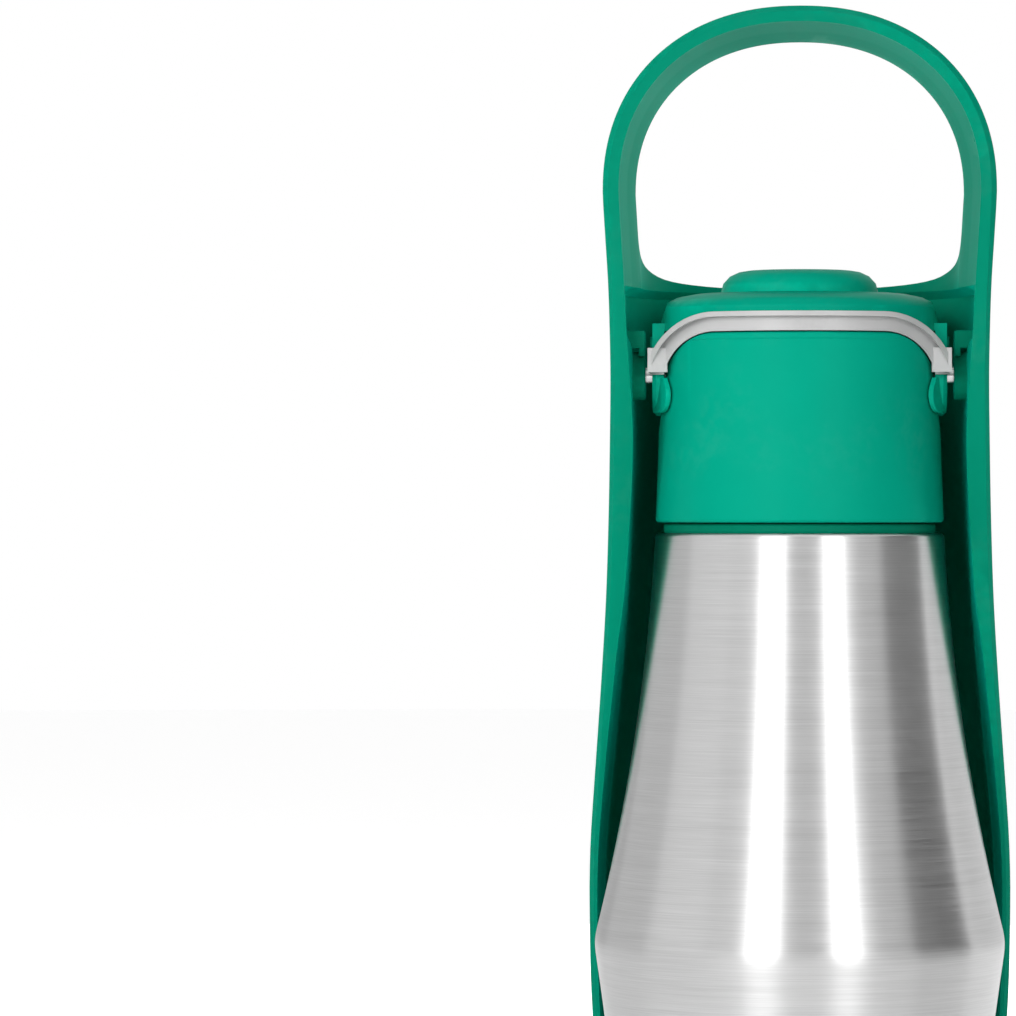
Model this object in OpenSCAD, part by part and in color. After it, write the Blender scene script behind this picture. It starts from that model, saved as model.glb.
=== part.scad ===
// Travel water bottle for a dog: steel bottle, screw collar, flip lid and a folding drinking trough
// with a carry loop. Millimetres, Z up, origin at the centre of the base on the table.
// The trough folds over the front (-Y), the lid opens at the back (+Y), the hinge axis runs along X.

/* [Bottle] */
// Height of the hinge axis above the table
pivot_z = 203.5; // [203:0.5:206]
// Apex radius of the steel belly before its edge is rounded
belly_r = 37.65; // [37.2:0.05:37.9]
// Outer radius of the steel shell at its top edge
shoulder_r = 26.4; // [26.3:0.1:26.8]
// Outer radius of the steel shell at the foot
base_r = 29.6; // [29:0.1:30.5]
// Sheet thickness of the outer shell
shell_t = 0.8; // [0.6:0.1:1]
// Outer radius of the inner vessel's neck
neck_r = 22.0; // [21.9:0.05:22.05]
// Thickness of the rubber foot pad
pad_t = 2.2; // [2:0.1:2.4]

/* [Collar] */
// Outer radius of the collar under the seal
collar_r = 25.7; // [25.6:0.05:25.8]
// Inner radius of the collar
collar_in_r = 23.75; // [23.7:0.05:23.8]
// Rise of the screw thread for one turn
pitch = 4; // [3.6:0.1:4.4]
// Radius of the outlet in the collar's deck
outlet_r = 7.2; // [7:0.1:7.6]

/* [Hinge] */
// Distance of the hinge axis behind the bottle's axis
pivot_y = 2; // [1.8:0.1:2.2]
// Radius of the steel hinge pins
pin_r = 1.6; // [1.5:0.05:1.7]
// Radial clearance of the pins in the lid's ears and the trough's bosses
pin_gap = 0.06; // [0.04:0.01:0.08]

/* [Trough] */
// Thickness of the bowl's wall
wall = 1.9; // [1.8:0.1:2.1]
// Height of the loop's top above the hinge axis
loop_top = 66.5; // [65:0.5:68]
// How far the rim band stands proud of the bowl under the hood
band_h = 1.6; // [1.3:0.1:1.8]
// Depth of the step under the hood's lower edge
hood_step = 1.2; // [0.9:0.1:1.3]

/* [Hidden] */

green = [0.05, 0.55, 0.42];
dark_green = [0.03, 0.25, 0.18];
steel = [0.75, 0.76, 0.77];
white = [0.88, 0.88, 0.86];

// ---- shared helpers -------------------------------------------------------------------------
function mix(a, b, t) = a + (b - a) * t;
function clamp01(t) = min(1, max(0, t));
function smooth(t) = let (c = clamp01(t)) c * c * (3 - 2 * c);

// A smooth curve through the rows [x, y] of a table whose x rises
function span_at(t, x, i = 0) = i >= len(t) - 2 || x < t[i + 1][0] ? i : span_at(t, x, i + 1);
function slope_at(t, i) =
    let (a = max(0, i - 1), b = min(len(t) - 1, i + 1)) (t[b][1] - t[a][1]) / (t[b][0] - t[a][0]);
function curve(t, x) =
    let (i = span_at(t, x), h = t[i + 1][0] - t[i][0], u = clamp01((x - t[i][0]) / h))
    t[i][1] * (2 * u * u * u - 3 * u * u + 1)
    + t[i + 1][1] * (3 * u * u - 2 * u * u * u)
    + slope_at(t, i) * h * (u * u * u - 2 * u * u + u)
    + slope_at(t, i + 1) * h * (u * u * u - u * u);

// Four corners of a wall panel as two triangles
function quad(a, b, c, d) = [[a, b, c], [a, c, d]];

// A cylinder along X between x0 and x1 on the hinge axis, moved by dy and dz
module along_x(r, x0, x1, dy = 0, dz = 0) {
    translate([x0, pivot_y + dy, dz])
        rotate([0, 90, 0])
            cylinder(r = r, h = x1 - x0, $fn = 64);
}

// The same shape on both sides of the bottle
module both_sides() {
    children();
    mirror([1, 0, 0])
        children();
}

// A screw thread's ridge: root radius r0, tip radius r1, from height z0 over the given turns
thread_steps = 40;
function ridge_z(i, z0) = z0 + pitch * i / thread_steps;
function ridge_r(i, n, r0, r1) = mix(r0, r1, smooth(min(i, n - i) / 6));
module thread(r0, r1, z0, turns) {
    n = round(turns * thread_steps);
    root = r1 > r0 ? r0 - 0.3 : r0 + 0.3;
    points = [for (i = [0:n]) let (a = 360 * i / thread_steps, z = ridge_z(i, z0), r = ridge_r(i, n, r0, r1))
        each [[root * cos(a), root * sin(a), z - 0.75], [r * cos(a), r * sin(a), z - 0.35],
            [r * cos(a), r * sin(a), z + 0.35], [root * cos(a), root * sin(a), z + 0.75]]];
    side = [for (i = [0:n - 1]) for (j = [0:3]) let (k = (j + 1) % 4)
        each quad(4 * i + j, 4 * i + 4 + j, 4 * i + 4 + k, 4 * i + k)];
    ends = [[0, 1, 2], [0, 2, 3], [4 * n + 3, 4 * n + 2, 4 * n + 1], [4 * n + 3, 4 * n + 1, 4 * n]];
    shown = concat(side, ends);
    polyhedron(points, r1 < r0 ? shown : [for (f = shown) [f[2], f[1], f[0]]], convexity = 8);
}

// ---- bottle ---------------------------------------------------------------------------------
shell_top = pivot_z - 28.8;
belly_z = pivot_z - 103.4;
neck_top = pivot_z - 9.6;
liner_floor = 9;

// Outer radius of the steel at height z
function steel_r(z) = z > belly_z
    ? let (t = (shell_top - z) / (shell_top - belly_z))
        shoulder_r + (belly_r - shoulder_r) * (0.35 * t + 0.65 * t * t)
    : base_r + (belly_r - base_r) * pow(max(z, 0) / belly_z, 1.88);

low_z = [for (i = [0:12]) mix(4, belly_z - 2.5, i / 12)];
high_z = [for (i = [0:18]) mix(belly_z + 2.5, shell_top - 0.6, i / 18)];
belly_round = belly_r - 0.22;

module outer_shell() {
    outside = concat([[base_r - 0.9, 1.2], [base_r - 0.2, 2.2]],
        [for (z = low_z) [steel_r(z), z]], [[belly_round, belly_z]],
        [for (z = high_z) [steel_r(z), z]], [[shoulder_r - 0.5, shell_top], [neck_r + 0.05, shell_top]]);
    inside = concat([[neck_r + 0.05, shell_top - shell_t], [shoulder_r - shell_t - 0.1, shell_top - shell_t]],
        [for (i = [18:-1:0]) [steel_r(high_z[i]) - shell_t, high_z[i] - 0.8]],
        [for (i = [12:-1:0]) [steel_r(low_z[i]) - shell_t, low_z[i]]], [[base_r - 1.7, 1.2]]);
    color(steel)
        rotate_extrude($fn = 128)
            polygon(concat(outside, inside));
}

module shell_base() {
    color(steel)
        rotate_extrude($fn = 128)
            polygon([[0, pad_t + 0.8], [0, pad_t], [base_r - 1.75, pad_t], [base_r - 1.75, 4.6],
                [base_r - 2.35, 4.6], [base_r - 2.35, pad_t + 0.8]]);
}

module base_pad() {
    color([0.12, 0.13, 0.13])
        rotate_extrude($fn = 128)
            polygon([[0, 0], [16.4, 0], [17, 0.8], [18.4, 0.8], [19, 0], [base_r - 3.2, 0], [base_r - 2.4, 0.8],
                [base_r - 2.4, pad_t], [0, pad_t]]);
}

// Outer radius of the inner vessel at height z
function liner_r(z) = z > shell_top - 5 ? neck_r
    : mix(steel_r(z) - 3.8, neck_r, smooth((z - shell_top + 18) / 13));

module inner_liner() {
    zs = [for (i = [0:14]) mix(liner_floor + 6, shell_top - 5, i / 14)];
    r_low = liner_r(liner_floor + 6);
    outside = concat([[r_low, liner_floor]], [for (z = zs) [liner_r(z), z]], [[neck_r, neck_top]]);
    inside = concat([[neck_r - 1.3, neck_top], [neck_r - 1.3, neck_top - 1.2], [neck_r - 0.8, neck_top - 1.6]],
        [for (i = [14:-1:0]) [liner_r(zs[i]) - 0.8, zs[i] - 0.3]], [[r_low - 0.8, liner_floor]]);
    color(steel) {
        rotate_extrude($fn = 80)
            polygon(concat(outside, inside));
        thread(neck_r, neck_r + 1.15, pivot_z - 22.5, 1.6);
    }
}

module liner_base() {
    r = liner_r(liner_floor + 6) - 0.82;
    color(steel)
        rotate_extrude($fn = 128)
            polygon([[0, 7.2], [r - 4, 7.2], [r, liner_floor], [r, liner_floor + 5], [r - 0.7, liner_floor + 5],
                [r - 0.7, liner_floor + 0.4], [r - 4.3, 8], [0, 8]]);
}

module neck_ring() {
    color(dark_green)
        translate([0, 0, pivot_z])
            rotate_extrude($fn = 128)
                polygon([[neck_r + 0.05, -28.75], [24.7, -28.75], [24.85, -28.4], [24.85, -27.4], [24.6, -27.1],
                    [23.3, -27.1], [23.3, -26.2], [neck_r + 0.05, -26.2]]);
}

// ---- collar ---------------------------------------------------------------------------------
arch_x = 15.3;
arch_z = -1.9;
tongue_arc = 9.2;
seal_arc = 12.9;
seal_front = 7.1;
seal_x = 27.5;
deck_top = -6;
deck_low = -8.2;
outlet_y = 12.5;

// Outline across the back, seen along Y: flat top, round shoulders, sides that run down to the collar
module arch_2d(r) {
    translate([-arch_x, arch_z])
        circle(r = r, $fn = 96);
    translate([arch_x, arch_z])
        circle(r = r, $fn = 96);
    translate([-arch_x, arch_z])
        square([2 * arch_x, r]);
    polygon([[-arch_x - r, arch_z], [arch_x + r, arch_z], [arch_x + r + 1.3, -11], [arch_x + r + 2, -22],
        [arch_x + r + 2, -40], [-arch_x - r - 2, -40], [-arch_x - r - 2, -22], [-arch_x - r - 1.3, -11]]);
}

// An outline in X and Z pulled along Y from y0 to y1
module along_y(y0, y1) {
    translate([0, y1, 0])
        rotate([90, 0, 0])
            linear_extrude(height = y1 - y0)
                children();
}

module collar_body() {
    intersection() {
        rotate_extrude($fn = 128)
            polygon([[0, deck_low], [collar_in_r, deck_low], [collar_in_r, -26.2], [collar_in_r + 0.4, -26.8],
                [26.0, -26.8], [26.32, -26.4], [26.25, -24], [25.95, -17], [collar_r, -9], [collar_r, 6.0],
                [collar_r + 0.25, 6.3], [collar_r + 0.25, 7.0], [collar_r, 7.3], [collar_r - 2, 7.3],
                [collar_r - 2, deck_top], [0, deck_top]]);
        along_y(-30, 30)
            arch_2d(tongue_arc);
    }
    both_sides()
        along_x(4.6, 21.2, 24.3);
    translate([0, outlet_y, deck_low])
        cylinder(r = outlet_r + 2.2, h = -0.3 - deck_low, $fn = 96);
}

module collar() {
    color(green)
        translate([0, 0, pivot_z]) {
            difference() {
                collar_body();
                translate([-30, -30, deck_top])
                    cube([60, 27.5, 20]);
                translate([0, outlet_y, deck_low - 1])
                    cylinder(r = outlet_r, h = 10, $fn = 96);
                both_sides() {
                    along_x(7.8, 24.3, 30);
                    along_x(pin_r + 0.02, 20, 30);
                }
            }
            thread(collar_in_r, collar_in_r - 1.15, -20.5 - pitch, 1.6);
        }
}

module cap_washer() {
    color(white)
        translate([0, 0, pivot_z])
            difference() {
                translate([0, 0, -9.3])
                    cylinder(r = 22.6, h = 0.8, $fn = 96);
                translate([0, 0, -10])
                    cylinder(r = 20.4, h = 2, $fn = 96);
            }
}

// ---- hinge pins -----------------------------------------------------------------------------
module pivot_pin_right() {
    color(steel)
        translate([0, 0, pivot_z])
            along_x(pin_r, 21.6, 30.3);
}

module pivot_pin_left() {
    mirror([1, 0, 0])
        pivot_pin_right();
}

// ---- lid ------------------------------------------------------------------------------------
lid_top = 14.8;
knob_y = 4.8;
ear_in = 24.6;
ear_out = 26.75;

// The lid's outline seen along Y, with slanted sides
module lid_outline_2d() {
    polygon([[-22.9, 5], [22.9, 5], [22.9, 8], [25.4, 8], [25.4, 9.5], [24, 13.2], [23.2, 14.2], [21.6, lid_top],
        [-21.6, lid_top], [-23.2, 14.2], [-24, 13.2], [-25.4, 9.5], [-25.4, 8], [-22.9, 8]]);
}

module knob(r, top) {
    translate([0, knob_y, 0])
        rotate_extrude($fn = 96)
            polygon([[0, 11], [r, 11], [r, top - 4.2], [r - 0.5, top - 2.3], [r - 1.7, top - 1], [r - 3.3, top - 0.25],
                [r - 4.8, top], [0, top]]);
}

module lid_cover() {
    intersection() {
        rotate_extrude($fn = 128)
            polygon([[0, 5], [23.4, 5], [23.4, 8], [25.4, 8], [25.4, 12.2], [24.6, 13.2], [22.5, 14.2],
                [19.5, lid_top], [0, lid_top]]);
        along_y(-10, 30)
            lid_outline_2d();
    }
    knob(14.4, 18.95);
}

module lid_hollow() {
    intersection() {
        cylinder(r = 21.6, h = 11.6, $fn = 96);
        translate([-30, -8, 0])
            cube([60, 60, 20]);
    }
    knob(12.4, 17);
    // room above the seal, whose outer edge carries the lid's back edge
    difference() {
        along_y(seal_front - 0.1, 30)
            arch_2d(seal_arc + 0.05);
        translate([0, 0, -20])
            cylinder(r = 23.4, h = 40, $fn = 96);
    }
}

// The ear's cheek that wraps round the collar below the seal's end
module lid_cheek() {
    intersection() {
        difference() {
            cylinder(r = ear_out + 0.2, h = 16, center = true, $fn = 128);
            cylinder(r = collar_r + 0.5, h = 18, center = true, $fn = 128);
        }
        hull() {
            along_x(6.8, 20, ear_out);
            along_x(3.2, 20, ear_out, 6.8, -3.7);
        }
        translate([20, pivot_y, -8])
            cube([10, 12, 7.4]);
    }
}

module lid_ear() {
    along_x(7.4, ear_in, ear_out - 0.7);
    translate([ear_out - 0.7, pivot_y, 0])
        rotate([0, 90, 0])
            cylinder(r1 = 7.4, r2 = 6.7, h = 0.7, $fn = 64);
    translate([ear_in, pivot_y - 5.6, 0])
        cube([ear_out - ear_in, 10.6, 9]);
    translate([22.5, pivot_y - 5.6, 8])
        cube([ear_out - 22.5, 10.6, 1.4]);
    lid_cheek();
    // detent nub
    along_x(1.1, ear_out - 0.5, ear_out + 0.5, 0, 6);
}

module lid() {
    color(green)
        translate([0, 0, pivot_z])
            difference() {
                union() {
                    difference() {
                        lid_cover();
                        lid_hollow();
                    }
                    both_sides()
                        lid_ear();
                    translate([0, outlet_y, 3])
                        cylinder(r = 3.6, h = 15.5, $fn = 64);
                }
                both_sides()
                    along_x(pin_r + pin_gap, 20, 30);
                translate([0, outlet_y, 2])
                    cylinder(r = 1.6, h = 8, $fn = 48);
            }
}

// The seal's outline from above: an arc across the back that runs on straight to the sides at x_out
module seal_plan(r, x_out) {
    corner_y = r * sqrt(2) - x_out;
    polygon(concat([[x_out, 0], [x_out, corner_y]], [for (a = [45:2.5:135]) [r * cos(a), r * sin(a)]],
        [[-x_out, corner_y], [-x_out, 0]]));
}

module seal_band(r_in, r_out, x_out, arc_in, arc_out) {
    intersection() {
        linear_extrude(height = 16)
            difference() {
                seal_plan(r_out, x_out);
                circle(r = r_in, $fn = 128);
            }
        difference() {
            along_y(seal_front, 30)
                arch_2d(arc_out);
            along_y(seal_front - 1, 31)
                arch_2d(arc_in);
        }
    }
}

module lid_seal() {
    color(white)
        translate([0, 0, pivot_z])
            difference() {
                union() {
                    seal_band(23.5, 26.0, seal_x - 0.2, tongue_arc + 0.25, seal_arc);
                    seal_band(25.8, 27.9, seal_x, seal_arc - 0.9, seal_arc);
                    both_sides()
                        translate([23.9, 9.6, 0.4])
                            cube([seal_x - 23.9, 3, 4.4]);
                }
                both_sides()
                    along_x(7.55, 24.4, 30);
            }
}

module outlet_stopper() {
    color(white)
        translate([0, outlet_y, pivot_z])
            rotate_extrude($fn = 96)
                polygon([[1.6, 3], [8.6, 3], [9.0, 2.6], [9.0, 0], [6.6, 0], [6.4, -1.4], [3.0, -1.4], [3.0, 0],
                    [1.6, 0]]);
}

module stopper_screw() {
    color(steel)
        translate([0, outlet_y, pivot_z])
            difference() {
                union() {
                    translate([0, 0, -1.2])
                        cylinder(r = 2.8, h = 1.2, $fn = 64);
                    cylinder(r = 1.5, h = 9.4, $fn = 48);
                }
                translate([-2, -0.35, -1.3])
                    cube([4, 0.7, 0.8]);
                translate([-0.35, -2, -1.3])
                    cube([0.7, 4, 0.8]);
            }
}

// ---- trough ---------------------------------------------------------------------------------
// Heights and depths are measured from the hinge axis level and the bottle's axis.
tip_z = -187;
flat_z = -60;
loop_z = 33;

// Depth position of the rim's rear face
rim_table = [[-187, -36.6], [-170, -34.4], [-150, -31.3], [-130, -27.6], [-112.5, -23.5], [-97.8, -19.6],
    [-79.4, -13.6], [-61, -6.4], [-42.7, 0.8], [-28, 6.2], [-15.4, 10.3], [-9, 12.2], [-2, 13.9], [5, 15.1],
    [12, 15.6], [20, 15.8], [40, 15.8]];
// Depth position of the bowl's front
front_table = [[-187, -37.2], [-186, -38.6], [-184, -40], [-180, -41.6], [-172, -43.8], [-160, -46.4],
    [-145, -49.2], [-130, -51.5], [-117, -52.9], [-104, -53.5], [-93, -52.7], [-85.8, -51.4], [-75, -49.1],
    [-64, -46], [-49.7, -41.6], [-35.3, -37.2], [-20.9, -33.4], [-13.6, -31.6], [-6, -29.9], [10, -28]];
// Half width over the rim
width_table = [[-100, 39.25], [-93.7, 39.2], [-86, 38.9], [-78.5, 38.35], [-67, 37.4], [-55.9, 36.5],
    [-41, 35.45], [-26.4, 34.8], [-12, 34.4], [0, 34.2], [10, 34.35], [17, 34.6], [24.2, 35.05], [33, 35.55],
    [40, 35.55]];
// Width of the rim's rear face
rim_face_table = [[-187, 1.5], [-97, 1.5], [-69, 1.9], [-60, 2.2], [-50, 2.6], [-41, 3.3], [-29, 3.8],
    [-12, 4.2], [0, 3.5], [10, 3.0], [40, 2.9]];
// Height of the hood's top edge against its depth position
top_table = [[-28.6, 16.8], [-24, 17.2], [-16, 18.2], [-10, 19.6], [-6, 20.9], [-3, 22.6], [-1, 25], [0.3, 29]];
// Height of the hood's lower edge against its depth position
step_table = [[-28.8, -5.7], [-22, -5.3], [-15.3, -4.4], [-2.8, -0.8], [3, 3], [6.5, 6], [8, 7]];

function half_w(z) = z > -100 ? curve(width_table, z)
    : 39.25 * sqrt(max(0, 1 - pow((-100 - z) / (-100 - tip_z), 2.6)));
function hood_y(z) = -28.4 - 0.6 * smooth((2 - z) / 10);

// Stations of the section: the rim band, then the round front
band_y = [0, 1, 6.6, 8.2, 10.6, 14];
round_a = [1.5, 4, 8, 14, 22, 32, 43, 55, 67, 78.5, 90];
crease_at = 10;
stations = 16;
cols = 2 * stations + 1;
loop_out = [1, 0, 0.15, 0.8, 2.3, 3.9];
loop_in = [2.9, 3.0, 4.1, 4.35, 5.0, 5.6];
function mid_y(j) = j <= 5 ? 14.4 - band_y[j] : 0.4 - 29 * pow(sin(round_a[j - 6]), 0.91);

// How far the rim band's stations reach forward: the band widens below the hinge
function band_at(j, z, k) = band_y[j] * k * (j < 2 ? 1 : 1 + 0.5 * smooth(-z / 40));

function band_off(j, z, hood) =
    let (q = hood ? smooth((z - 17) / 15) : 0, f = smooth((-15 - z) / 95),
        proud = hood ? 0.55 : mix(band_h, 0.3, f), side = hood ? 0.7 : mix(0.7 + hood_step, 0.35, f),
        own = [0.8, 0, 0.12, proud * 0.6, proud, side][j])
    mix(own, loop_out[j], q);

// A soft crease down the bowl's side, from the hood's step
function crease(j, z, hood) = hood || j != crease_at ? 0 : 0.5 * smooth(-z / 6) * (1 - smooth((-25 - z) / 50));

function front_power(z, hood) = hood ? 0.91 : mix(0.82, 0.93, smooth((-40 - z) / 70));

function outer_xy(j, z, hood) =
    let (w = half_w(z), yr = curve(rim_table, z), yf = hood ? hood_y(z) : curve(front_table, z),
        k = min(1, (yr - yf) / 38), n = front_power(z, hood), dip = crease(j, z, hood),
        side = w - min(band_off(5, z, hood), w * 0.1), ys = yr - band_at(5, z, k))
    j <= 5 ? [w - min(band_off(j, z, hood), w * 0.1), yr - band_at(j, z, k)]
    : let (a = round_a[j - 6]) [(side - dip) * pow(abs(cos(a)), n), ys + (yf + dip - ys) * pow(sin(a), n)];

// The hood's lining is thin below the loop's root and thick above it
function inner_xy(j, z, hood) =
    let (w = half_w(z), yr = curve(rim_table, z), yo = hood ? hood_y(z) : curve(front_table, z),
        k = min(1, (yr - yo) / 38), n = front_power(z, hood), i = min(j, 5),
        face = curve(rim_face_table, z), side = band_off(5, z, hood) + wall,
        ys = yr - band_at(5, z, k), yf = min(ys - 0.05 * k, yo + wall),
        own = [face, face + 0.05, mix(face, side, 0.5), side, side, side][i],
        x = max(0.3 * w, w - mix(own, loop_in[i], hood ? smooth((z - 15) / 1.4) : 0)))
    j <= 5 ? [x, yr - band_at(j, z, k)]
    : let (a = round_a[j - 6]) [x * pow(abs(cos(a)), n), ys + (yf - ys) * pow(sin(a), n)];

hood_rows = [0, 0.1, 0.2, 0.32, 0.44, 0.54, 0.62, 0.69, 0.8, 0.9, 1];
body_rows = [0, 0.08, 0.18, 0.3, 0.42, 0.55, 0.7, 0.85];
tail_count = 17;
rows = len(hood_rows) + len(body_rows) + tail_count;

function row_is_hood(r) = r < len(hood_rows);
function row_z(r, j) =
    let (top = j <= 5 ? loop_z : curve(top_table, mid_y(j)), step = curve(step_table, mid_y(j)),
        b = r - len(hood_rows), g = (b - len(body_rows)) / (tail_count - 1))
    row_is_hood(r) ? mix(top, step, hood_rows[r])
    : b < len(body_rows) ? mix(step - 0.9, flat_z, body_rows[b])
    : tip_z + 0.1 + (flat_z - tip_z - 0.1) * pow(1 - g, 1.8);

function outer_at(r, j) = let (z = row_z(r, j), p = outer_xy(j, z, row_is_hood(r))) [p[0], p[1], z];
function inner_at(r, j) =
    let (z0 = row_z(r, j), z = z0 > flat_z ? z0 : flat_z + (z0 - flat_z) * (flat_z - tip_z - 2.4) / (flat_z - tip_z),
        p = inner_xy(j, z, row_is_hood(r))) [p[0], p[1], z];
function both(p, c) = c <= stations ? p : [-p[0], p[1], p[2]];
function fold(c) = c <= stations ? c : cols - 1 - c;
function snap(p, c) = c == stations ? [0, p[1], p[2]] : p;

loop_steps = 24;
function loop_at(k, j, off) =
    let (a = 180 * k / loop_steps, c = cos(a), n = 0.91)
    [sign(c) * (half_w(loop_z) - off) * pow(abs(c), n), curve(rim_table, loop_z) - band_y[j],
        loop_z + (loop_top - loop_z - off) * pow(sin(a), n)];

bowl_points = rows * cols;
loop_points = (loop_steps - 1) * 6;
function o_at(r, c) = r * cols + c;
function i_at(r, c) = bowl_points + r * cols + c;
function lo_at(k, j) = k == 0 ? o_at(0, j) : k == loop_steps ? o_at(0, cols - 1 - j)
    : 2 * bowl_points + (k - 1) * 6 + j;
function li_at(k, j) = k == 0 ? i_at(0, j) : k == loop_steps ? i_at(0, cols - 1 - j)
    : 2 * bowl_points + loop_points + (k - 1) * 6 + j;

module trough_skin() {
    last = rows - 1;
    end = cols - 1;
    points = concat(
        [for (r = [0:last]) for (c = [0:end]) snap(both(outer_at(r, fold(c)), c), c)],
        [for (r = [0:last]) for (c = [0:end]) snap(both(inner_at(r, fold(c)), c), c)],
        [for (k = [1:loop_steps - 1]) for (j = [0:5]) loop_at(k, j, loop_out[j])],
        [for (k = [1:loop_steps - 1]) for (j = [0:5]) loop_at(k, j, loop_in[j])]);
    walls = [for (r = [0:last - 1]) for (c = [0:end - 1]) each concat(
        quad(o_at(r, c), o_at(r + 1, c), o_at(r + 1, c + 1), o_at(r, c + 1)),
        quad(i_at(r, c), i_at(r, c + 1), i_at(r + 1, c + 1), i_at(r + 1, c)))];
    rim = [for (r = [0:last - 1]) each concat(
        quad(o_at(r, 0), i_at(r, 0), i_at(r + 1, 0), o_at(r + 1, 0)),
        quad(i_at(r, end), o_at(r, end), o_at(r + 1, end), i_at(r + 1, end)))];
    hood_edge = [for (c = [5:end - 6]) each quad(o_at(0, c), o_at(0, c + 1), i_at(0, c + 1), i_at(0, c))];
    loop_walls = [for (k = [0:loop_steps - 1]) for (j = [0:4]) each concat(
        quad(lo_at(k, j), lo_at(k, j + 1), lo_at(k + 1, j + 1), lo_at(k + 1, j)),
        quad(li_at(k, j + 1), li_at(k, j), li_at(k + 1, j), li_at(k + 1, j + 1)))];
    loop_edges = [for (k = [0:loop_steps - 1]) each concat(
        quad(li_at(k, 0), lo_at(k, 0), lo_at(k + 1, 0), li_at(k + 1, 0)),
        quad(lo_at(k, 5), li_at(k, 5), li_at(k + 1, 5), lo_at(k + 1, 5)))];
    tip = concat([[for (c = [end:-1:0]) o_at(last, c)], [for (c = [0:end]) i_at(last, c)]],
        quad(o_at(last, end), o_at(last, 0), i_at(last, 0), i_at(last, end)));
    polyhedron(points, concat(walls, rim, hood_edge, loop_walls, loop_edges, tip), convexity = 12);
}

module hinge_boss() {
    along_x(4.4, 28.1, 32);
    // detent tab above the boss
    translate([28.1, pivot_y - 1.5, 4.9])
        cube([3.9, 5.4, 3.2]);
    translate([28.1, pivot_y + 2.2, 3.4])
        cube([1.2, 1.7, 2]);
}

module trough() {
    color(green)
        translate([0, 0, pivot_z])
            difference() {
                union() {
                    trough_skin();
                    both_sides()
                        hinge_boss();
                }
                both_sides()
                    along_x(pin_r + pin_gap, 26, 30.7);
            }
}

outer_shell();
shell_base();
base_pad();
inner_liner();
liner_base();
neck_ring();
cap_washer();
collar();
pivot_pin_left();
pivot_pin_right();
lid();
lid_seal();
outlet_stopper();
stopper_screw();
trough();
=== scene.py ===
"""Looks of a dog's travel water bottle: steel bottle, screw collar, flip lid and a folding drinking trough."""

import math

import bmesh
import bpy
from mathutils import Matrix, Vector


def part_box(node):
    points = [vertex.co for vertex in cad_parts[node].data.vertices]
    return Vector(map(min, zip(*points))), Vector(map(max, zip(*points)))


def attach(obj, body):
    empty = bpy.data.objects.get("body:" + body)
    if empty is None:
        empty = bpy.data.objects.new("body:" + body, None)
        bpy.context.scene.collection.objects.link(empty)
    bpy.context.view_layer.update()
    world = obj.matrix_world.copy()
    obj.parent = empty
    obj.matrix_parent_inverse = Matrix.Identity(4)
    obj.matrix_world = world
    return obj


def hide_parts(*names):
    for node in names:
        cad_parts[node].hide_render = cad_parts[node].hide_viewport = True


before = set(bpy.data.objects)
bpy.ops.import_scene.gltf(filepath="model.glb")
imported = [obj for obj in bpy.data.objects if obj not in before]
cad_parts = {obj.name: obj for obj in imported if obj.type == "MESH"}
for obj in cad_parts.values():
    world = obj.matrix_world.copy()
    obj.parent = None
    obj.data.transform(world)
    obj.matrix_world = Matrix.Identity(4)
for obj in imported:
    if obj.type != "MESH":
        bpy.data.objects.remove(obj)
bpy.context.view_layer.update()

bl_info = {
    "name": "Dog travel bottle",
    "version": (1, 0, 0),
    "blender": (4, 5, 0),
    "location": "3D View > Sidebar > Bottle",
    "description": "Builds a steel travel bottle with a folding drinking trough",
    "category": "Mesh",
}

MM = 0.001
STEEL_LOW, STEEL_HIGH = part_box("outer_shell")
PIN_LOW, PIN_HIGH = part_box("pivot_pin_right")
TROUGH_LOW, TROUGH_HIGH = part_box("trough")
PIVOT_Z = (PIN_LOW.z + PIN_HIGH.z) / 2
PIVOT_Y = (PIN_LOW.y + PIN_HIGH.y) / 2


# ---- sizes and colours a user may change --------------------------------------------------------
def length(name, description, default, **more):
    """A size in metres, shown in the scene's units."""
    return bpy.props.FloatProperty(
        name=name, description=description, default=default, unit="LENGTH", subtype="DISTANCE", precision=5, **more
    )


def tint(name, description, default):
    """A colour without alpha."""
    return bpy.props.FloatVectorProperty(
        name=name, description=description, default=default, size=3, min=0.0, max=1.0, subtype="COLOR"
    )


class SteelSizes(bpy.types.PropertyGroup):
    """Sizes of the steel shell"""

    top: length("Top", "Height of the shell's top ledge", STEEL_HIGH.z)
    foot: length("Foot", "Height of the shell's lower edge", STEEL_LOW.z)
    belly: length("Belly height", "Height of the widest edge", PIVOT_Z - 103.4 * MM)
    belly_radius: length("Belly radius", "Radius at the widest edge", 37.65 * MM)
    belly_round: length("Belly round", "How softly the widest edge is turned over", 1.34 * MM)
    shoulder_radius: length("Shoulder radius", "Radius at the top edge", 26.4 * MM)
    foot_radius: length("Foot radius", "Radius at the foot", 29.6 * MM)
    neck_radius: length("Neck radius", "Radius of the opening round the neck", 22.05 * MM)
    sheet: length("Sheet", "Thickness of the steel", 0.8 * MM)
    around: bpy.props.IntProperty(name="Around", description="Faces round the shell", default=160, min=32, max=256)


class TroughSizes(bpy.types.PropertyGroup):
    """Sizes of the drinking trough"""

    wall: length("Wall", "Thickness of the bowl's wall", 1.9 * MM)
    loop_top: length("Loop top", "Height of the loop's top above the hinge", 66.5 * MM)
    band: length("Band", "How far the rim band stands proud under the hood", 1.6 * MM)
    step: length("Step", "Depth of the step under the hood", 1.2 * MM)
    edge: length("Edge", "Width of the rounding on the moulded edges", 0.3 * MM)


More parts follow.
